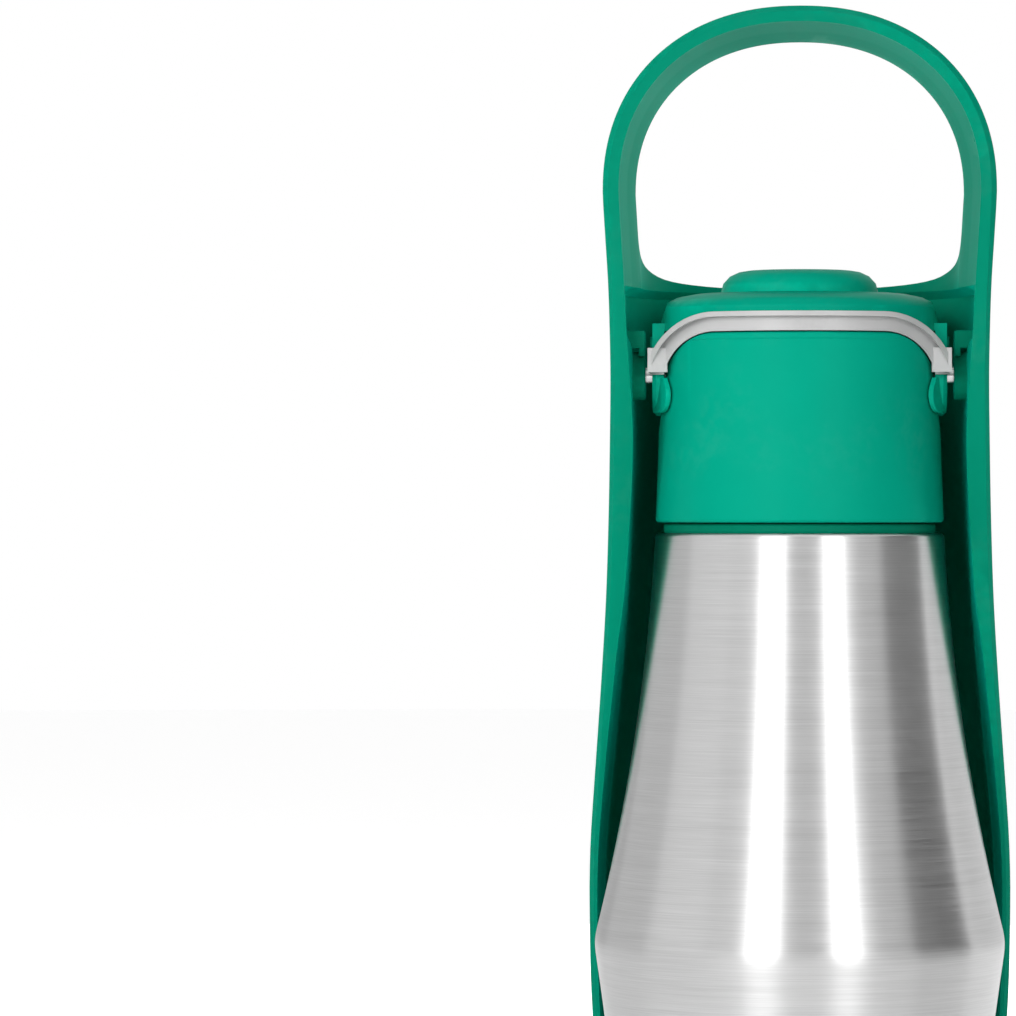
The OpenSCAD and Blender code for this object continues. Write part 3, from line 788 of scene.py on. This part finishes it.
def band_offset(j, z, hood, size):
    """How far each line of the rim band lies inside the full width."""
    to_loop = smooth((z - 17) / 15) if hood else 0.0
    to_tip = below(z, -15, 95)
    crest = HOOD_BAND if hood else mix(size.band / MM, TIP_BAND, to_tip)
    side = HOOD_SIDE if hood else mix(HOOD_SIDE + size.step / MM, TIP_SIDE, to_tip)
    return mix((0.8, 0.0, 0.12, crest * 0.6, crest, side)[j], LOOP_OUT[j], to_loop)


def front_power(z, hood):
    """How full the round front is."""
    return ROUND_POWER if hood else mix(0.82, 0.93, below(z, -40, 70))


def section(j, side_x, side_y, front, power):
    """A point of the round front between its side and its middle."""
    a = math.radians(ROUND[j - len(BAND_Y)])
    return side_x * abs(math.cos(a)) ** power, side_y + (front - side_y) * math.sin(a) ** power


def skin_point(j, z, hood, size):
    """A point of the trough's outside."""
    w, back, front = half_width(z), curve(RIM_BACK, z), front_depth(z, hood)
    k = min(1.0, (back - front) / FULL_DEPTH)
    if j < len(BAND_Y):
        return w - min(band_offset(j, z, hood, size), w * 0.1), back - band_reach(j, z, k)
    fade = 0.0 if hood else 0.5 * below(z, 0, 6) * (1 - below(z, -25, 50))
    dip = fade * CREASE.get(ROUND[j - len(BAND_Y)], 0.0)
    side = w - min(band_offset(5, z, hood, size), w * 0.1)
    return section(j, side - dip, back - band_reach(5, z, k), front + dip, front_power(z, hood))


def lining_point(j, z, hood, thick, size):
    """A point of the trough's inside, thin below the loop's root and thick above it."""
    w, back, front = half_width(z), curve(RIM_BACK, z), front_depth(z, hood)
    k = min(1.0, (back - front) / FULL_DEPTH)
    face, side = curve(RIM_FACE, z), band_offset(5, z, hood, size) + size.wall / MM
    side_y = back - band_reach(5, z, k)
    front = min(side_y - 0.05 * k, front + size.wall / MM)
    i = min(j, 5)
    own = (face, face + 0.05, mix(face, side, 0.5), side, side, side)[i]
    x = max(0.3 * w, w - (LOOP_IN[i] if thick else own))
    if j < len(BAND_Y):
        return x, back - band_reach(j, z, k)
    return section(j, x, side_y, front, front_power(z, hood))


def trough_rows():
    """Every row of the trough from the hood's edge to the tip: the kind of row and its place in that kind."""
    rows = [("hood", t) for t in HOOD_ROWS] + [("body", t) for t in BODY_ROWS]
    return rows + [("tail", i / (TAIL_ROWS - 1)) for i in range(TAIL_ROWS)]


def row_height(kind, t, j):
    """Height of a row at a station of the section."""
    if j < len(BAND_Y):
        y = HOOD_BACK_Y - BAND_Y[j]
    else:
        y = HOOD_SIDE_Y - HOOD_REACH * math.sin(math.radians(ROUND[j - len(BAND_Y)])) ** ROUND_POWER
    top = LOOP_Z if j < len(BAND_Y) else curve(HOOD_TOP, y)
    step = curve(HOOD_STEP, y)
    if kind == "hood":
        if t <= THICK_ROWS:
            return mix(top, LEDGE_Z, t / THICK_ROWS)
        return mix(LEDGE_Z - LEDGE, step, (t - THICK_ROWS) / (1 - THICK_ROWS))
    if kind == "body":
        return mix(step - STEP_RISE, FLAT_Z, t)
    return TIP_Z + TIP_LIFT + (FLAT_Z - TIP_Z - TIP_LIFT) * (1 - t) ** TIP_CROWDING


def loop_point(turn, j, inset):
    """A point of the carry loop over the hood."""
    across = math.cos(turn)
    x = math.copysign((half_width(LOOP_Z) - inset) * abs(across) ** ROUND_POWER, across)
    top = bpy.context.scene.bottle_trough.loop_top / MM
    z = LOOP_Z + (top - LOOP_Z - inset) * math.sin(turn) ** ROUND_POWER
    return x, curve(RIM_BACK, LOOP_Z) - BAND_Y[j], z


def trough_skin(size):
    """The closed mesh of bowl, hood and loop."""
    work = bmesh.new()

    def place(x, y, z):
        return work.verts.new((x * MM, y * MM, PIVOT_Z + z * MM))

    outside, lining = [], []
    for kind, t in trough_rows():
        hood = kind == "hood"
        out_row, in_row = [], []
        for c in range(ACROSS):
            j, sign = (c, 1) if c <= SIDE else (ACROSS - 1 - c, -1)
            z = row_height(kind, t, j)
            x, y = skin_point(j, z, hood, size)
            out_row.append(place(0 if c == SIDE else sign * x, y, z))
            low = z if z > FLAT_Z else FLAT_Z + (z - FLAT_Z) * (FLAT_Z - TIP_Z - TIP_WALL) / (FLAT_Z - TIP_Z)
            x, y = lining_point(j, low, hood, hood and t <= THICK_ROWS, size)
            in_row.append(place(0 if c == SIDE else sign * x, y, low))
        outside.append(out_row)
        lining.append(in_row)

    band = len(BAND_Y)
    loop_out = [[outside[0][j] for j in range(band)]]
    loop_in = [[lining[0][j] for j in range(band)]]
    for k in range(1, LOOP_STEPS):
        turn = math.pi * k / LOOP_STEPS
        loop_out.append([place(*loop_point(turn, j, LOOP_OUT[j])) for j in range(band)])
        loop_in.append([place(*loop_point(turn, j, LOOP_IN[j])) for j in range(band)])
    loop_out.append([outside[0][ACROSS - 1 - j] for j in range(band)])
    loop_in.append([lining[0][ACROSS - 1 - j] for j in range(band)])

    end = ACROSS - 1
    for r in range(len(outside) - 1):
        o, p, i, q = outside[r], outside[r + 1], lining[r], lining[r + 1]
        for c in range(end):
            work.faces.new((o[c], p[c], p[c + 1], o[c + 1]))
            work.faces.new((i[c], i[c + 1], q[c + 1], q[c]))
        work.faces.new((o[0], i[0], q[0], p[0]))
        work.faces.new((i[end], o[end], p[end], q[end]))
    for c in range(band - 1, end - band + 1):
        work.faces.new((outside[0][c], outside[0][c + 1], lining[0][c + 1], lining[0][c]))
    for k in range(LOOP_STEPS):
        o, p, i, q = loop_out[k], loop_out[k + 1], loop_in[k], loop_in[k + 1]
        for j in range(band - 1):
            work.faces.new((o[j], o[j + 1], p[j + 1], p[j]))
            work.faces.new((i[j + 1], i[j], q[j], q[j + 1]))
        work.faces.new((i[0], o[0], p[0], q[0]))
        work.faces.new((o[-1], i[-1], q[-1], p[-1]))
    work.faces.new(reversed(outside[-1]))
    work.faces.new(lining[-1])
    work.faces.new((outside[-1][end], outside[-1][0], lining[-1][0], lining[-1][end]))
    low, high = TROUGH_LOW, TROUGH_HIGH
    for vert in work.verts:
        vert.co = Vector([min(max(v, a), b) for v, a, b in zip(vert.co, low, high)])
    for face in work.faces:
        face.smooth = True
    mesh = bpy.data.meshes.new("trough_skin")
    work.to_mesh(mesh)
    work.free()
    return mesh


# Millimetres: the boss reaches from BOSS_IN to BOSS_OUT along X, and its pin's hole ends at HOLE_END.
BOSS_IN, BOSS_OUT, HOLE_END = 28.1, 32.0, 30.7
BOSS_R, HOLE_R = 4.4, 1.66
BOSS_FACES = 48
# The detent tab and its foot: X, Y and Z from and to, Y and Z from the hinge's axis.
BOSS_TABS = ((28.1, 32.0, -1.5, 3.9, 4.9, 8.1), (28.1, 29.3, 2.2, 3.9, 3.4, 5.4))


def hinge_boss(side):
    """The round boss on the trough's side wall with its detent tab."""
    work = bmesh.new()
    turns = [math.tau * i / BOSS_FACES for i in range(BOSS_FACES)]

    def place(x, y, z):
        return (side * x * MM, PIVOT_Y + y * MM, PIVOT_Z + z * MM)

    def ring(x, r):
        return [work.verts.new(place(x, r * math.cos(a), r * math.sin(a))) for a in turns]

    outline = ((BOSS_OUT, HOLE_R), (BOSS_OUT, BOSS_R), (BOSS_IN, BOSS_R), (BOSS_IN, HOLE_R), (HOLE_END, HOLE_R))
    rings = [ring(x, r) for x, r in outline]
    for a, b in zip(rings, rings[1:]):
        for i in range(BOSS_FACES):
            k = (i + 1) % BOSS_FACES
            work.faces.new((a[i], a[k], b[k], b[i]))
    work.faces.new(rings[-1])
    work.faces.new(rings[0])
    bmesh.ops.recalc_face_normals(work, faces=work.faces)
    for x0, x1, y0, y1, z0, z1 in BOSS_TABS:
        tab = bmesh.ops.create_cube(work, size=1.0)["verts"]
        for vert in tab:
            x = (x0 + x1) / 2 + vert.co.x * (x1 - x0)
            y = (y0 + y1) / 2 + vert.co.y * (y1 - y0)
            z = (z0 + z1) / 2 + vert.co.z * (z1 - z0)
            vert.co = place(x, y, z)
        bmesh.ops.recalc_face_normals(work, faces=list({f for vert in tab for f in vert.link_faces}))
    for face in work.faces:
        face.smooth = True
    mesh = bpy.data.meshes.new("hinge_boss")
    work.to_mesh(mesh)
    work.free()
    return mesh


class BOTTLE_OT_trough(bpy.types.Operator):
    """Makes the drinking trough with its hood and carry loop"""

    bl_idname = "bottle.trough"
    bl_label = "Drinking trough"

    def execute(self, context):
        _, size, finish = sizes()
        green = moulded_plastic("trough_green", tuple(finish.trough_green), 0.4, sheen=0.4)
        dress(green, "trough")
        trough = link_mesh("drinking_trough", trough_skin(size))
        give(trough, green)
        soften(trough, size.edge, 28.0)
        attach(trough, "trough")
        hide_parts("trough")
        for name, side in (("boss_right", 1), ("boss_left", -1)):
            boss = link_mesh(name, hinge_boss(side))
            give(boss, green)
            soften(boss, size.edge, 40.0)
            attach(boss, "trough")
            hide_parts("trough")
        return {"FINISHED"}


# ---- stage --------------------------------------------------------------------------------------
CAMERA_AWAY = 1.035
CAMERA_LENS = 200.0
SENSOR_WIDTH = 36.0
PHOTO_SIDE = 1016
PHOTO_SCALE = CAMERA_LENS / SENSOR_WIDTH * PHOTO_SIDE / CAMERA_AWAY
# Where the hinge's middle stands in the photograph, in its pixels.
CENTRE_PX = (799.5, 376.0)

WORLD_FILL = 0.1
# Name, azimuth, height, width, tall, radiance, distance, height it looks at and what sees it.
# Azimuth 0 is the camera's side (+Y), and 90 is at -X.
LAMPS = (
    ("strip_left", -21.0, 0.30, 0.40, 1.30, 3.0, 1.25, 0.13, "gloss"),
    ("strip_right", 27.0, 0.30, 0.34, 1.30, 3.0, 1.25, 0.13, "gloss"),
    ("key_left", -20.0, 0.45, 0.45, 0.45, 10.5, 1.25, 0.13, "matt"),
    ("key_right", 20.0, 0.45, 0.45, 0.45, 6.5, 1.25, 0.13, "matt"),
    ("side_left", -52.0, 0.60, 0.50, 0.70, 4.5, 1.25, 0.20, "matt"),
    ("side_right", 120.0, 0.55, 0.50, 0.60, 7.5, 1.25, 0.25, "matt"),
    ("front", 180.0, 0.50, 1.20, 1.10, 1.3, 1.25, 0.13, "matt"),
    ("overhead", 0.0, 1.40, 1.00, 1.00, 0.5, 0.05, 0.13, "both"),
)
# Name, azimuth from and to, distance and brightness of the cards that the steel mirrors.
CARDS = (
    ("back_left", -179.0, -140.0, 1.6, 0.5),
    ("far_left", -140.0, -96.0, 1.6, 0.7),
    ("near_left", -56.0, -32.0, 1.6, 0.84),
    ("middle", -10.0, 16.0, 1.7, 0.55),
    ("near_right", 44.0, 68.0, 1.6, 0.62),
    ("dark_right", 68.0, 110.0, 1.6, 0.06),
    ("far_right", 118.0, 179.0, 1.6, 0.75),
)
CARD_LOW, CARD_HIGH = -0.6, 1.2
CARD_STEPS = 12


def soft_lamp(name, azimuth, height, width, tall, radiance, away, aim, seen_by):
    """A soft box that looks at the bottle. Its radiance stays the same whatever its size."""
    lamp = bpy.data.lights.new(name, "AREA")
    lamp.shape = "RECTANGLE"
    lamp.size, lamp.size_y = width, tall
    lamp.energy = radiance * math.pi * width * tall
    box = bpy.data.objects.new(name, lamp)
    turn = math.radians(azimuth)
    box.location = (-math.sin(turn) * away, math.cos(turn) * away, height)
    box.rotation_euler = (Vector((0, 0, aim)) - box.location).to_track_quat("-Z", "Y").to_euler()
    box.visible_glossy = seen_by != "matt"
    box.visible_diffuse = seen_by != "gloss"
    bpy.context.scene.collection.objects.link(box)


def studio_card(name, start, stop, away, brightness):
    """A curved card that only the gloss of the steel and the plastic sees."""
    points = []
    for i in range(CARD_STEPS + 1):
        turn = math.radians(start + (stop - start) * i / CARD_STEPS)
        for z in (CARD_LOW, CARD_HIGH):
            points.append((-math.sin(turn) * away, math.cos(turn) * away, z))
    faces = [(2 * i, 2 * i + 1, 2 * i + 3, 2 * i + 2) for i in range(CARD_STEPS)]
    mesh = bpy.data.meshes.new(name)
    mesh.from_pydata(points, [], faces)
    card = link_mesh(name, mesh)
    material = bpy.data.materials.new(name)
    material.use_nodes = True
    tree = material.node_tree
    tree.nodes.clear()
    glow = put(tree, "ShaderNodeEmission")
    glow.inputs["Color"].default_value = (1.0, 1.0, 1.0, 1.0)
    glow.inputs["Strength"].default_value = brightness
    out = put(tree, "ShaderNodeOutputMaterial")
    tree.links.new(glow.outputs[0], out.inputs[0])
    give(card, material)
    card.visible_camera = card.visible_diffuse = card.visible_shadow = False
    card.visible_transmission = False


def studio_floor(colour):
    """A white floor that keeps the bottle's shadow."""
    mesh = bpy.data.meshes.new("floor")
    ring = bmesh.new()
    bmesh.ops.create_circle(ring, cap_ends=True, segments=96, radius=4.0)
    ring.to_mesh(mesh)
    ring.free()
    floor = link_mesh("floor", mesh)
    floor.location.z = -0.0002
    material = bpy.data.materials.new("floor_paper")
    material.use_nodes = True
    tree = material.node_tree
    shader = tree.nodes["Principled BSDF"]
    shader.inputs["Base Color"].default_value = (*shade(colour, 0.86), 1.0)
    shader.inputs["Roughness"].default_value = 0.9
    shader.inputs["Specular IOR Level"].default_value = 0.1
    rays = put(tree, "ShaderNodeLightPath")
    shader.inputs["Emission Color"].default_value = (*colour, 1.0)
    seen = calc(tree, "MULTIPLY", rays.outputs["Is Camera Ray"], 0.85)
    mirrored = calc(tree, "MULTIPLY", rays.outputs["Is Glossy Ray"], 0.4)
    feed(tree, shader.inputs["Emission Strength"], calc(tree, "ADD", seen, mirrored))
    give(floor, material)


def studio_world(colour, fill):
    """White where the camera and the gloss look, and a plain fill for everything else."""
    world = bpy.data.worlds.new("studio")
    bpy.context.scene.world = world
    world.use_nodes = True
    tree = world.node_tree
    sky = tree.nodes["Background"]
    sky.inputs["Color"].default_value = (*colour, 1.0)
    rays = put(tree, "ShaderNodeLightPath")
    seen = calc(tree, "MAXIMUM", rays.outputs["Is Camera Ray"],
                calc(tree, "MAXIMUM", rays.outputs["Is Glossy Ray"], rays.outputs["Is Transmission Ray"]))
    feed(tree, sky.inputs["Strength"], stretch(tree, seen, 0.0, 1.0, fill, 1.0))


class BOTTLE_OT_stage(bpy.types.Operator):
    """Sets up the camera, the soft studio light and the floor"""

    bl_idname = "bottle.stage"
    bl_label = "Studio"

    def execute(self, context):
        _, _, finish = sizes()
        scene = context.scene
        scene.view_settings.view_transform = "Standard"
        white = tuple(finish.backdrop)
        studio_world(white, WORLD_FILL)
        studio_floor(white)
        for name, azimuth, height, width, tall, radiance, away, aim, seen_by in LAMPS:
            soft_lamp(name, azimuth, height, width, tall, radiance, away, aim, seen_by)
        for name, start, stop, away, brightness in CARDS:
            studio_card(name, start, stop, away, brightness)

        lens = bpy.data.cameras.new("camera")
        lens.lens = CAMERA_LENS
        lens.sensor_width = SENSOR_WIDTH
        camera = bpy.data.objects.new("camera", lens)
        height = PIVOT_Z - (PHOTO_SIDE / 2 - CENTRE_PX[1]) / PHOTO_SCALE
        yaw = math.atan((CENTRE_PX[0] - PHOTO_SIDE / 2) / PHOTO_SCALE / CAMERA_AWAY)
        camera.location = (0.0, CAMERA_AWAY, height)
        look = Vector((math.sin(yaw), -math.cos(yaw), 0.0))
        camera.rotation_euler = look.to_track_quat("-Z", "Y").to_euler()
        scene.collection.objects.link(camera)
        scene.camera = camera
        return {"FINISHED"}


class BOTTLE_PT_panel(bpy.types.Panel):
    """Lists the steps that build the bottle"""

    bl_idname = "BOTTLE_PT_panel"
    bl_label = "Dog travel bottle"
    bl_space_type = "VIEW_3D"
    bl_region_type = "UI"
    bl_category = "Bottle"

    def draw(self, context):
        layout = self.layout
        for group in (context.scene.bottle_steel, context.scene.bottle_trough, context.scene.bottle_finish):
            box = layout.box()
            for key in group.bl_rna.properties.keys():
                if key not in {"rna_type", "name"}:
                    box.prop(group, key)
        for step in STEPS:
            layout.operator(step.bl_idname, text=step.bl_label)


STEPS = (BOTTLE_OT_stage, BOTTLE_OT_steel, BOTTLE_OT_cap, BOTTLE_OT_trough)
GROUPS = {"bottle_steel": SteelSizes, "bottle_trough": TroughSizes, "bottle_finish": Finishes}


def register():
    for item in (*GROUPS.values(), *STEPS, BOTTLE_PT_panel):
        bpy.utils.register_class(item)
    for name, group in GROUPS.items():
        setattr(bpy.types.Scene, name, bpy.props.PointerProperty(type=group))


def unregister():
    for name in GROUPS:
        delattr(bpy.types.Scene, name)
    for item in reversed((*GROUPS.values(), *STEPS, BOTTLE_PT_panel)):
        bpy.utils.unregister_class(item)


def main():
    """Registers the add-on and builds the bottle."""
    register()
    for step in STEPS:
        family, action = step.bl_idname.split(".")
        getattr(getattr(bpy.ops, family), action)()


if __name__ == "__main__":
    main()
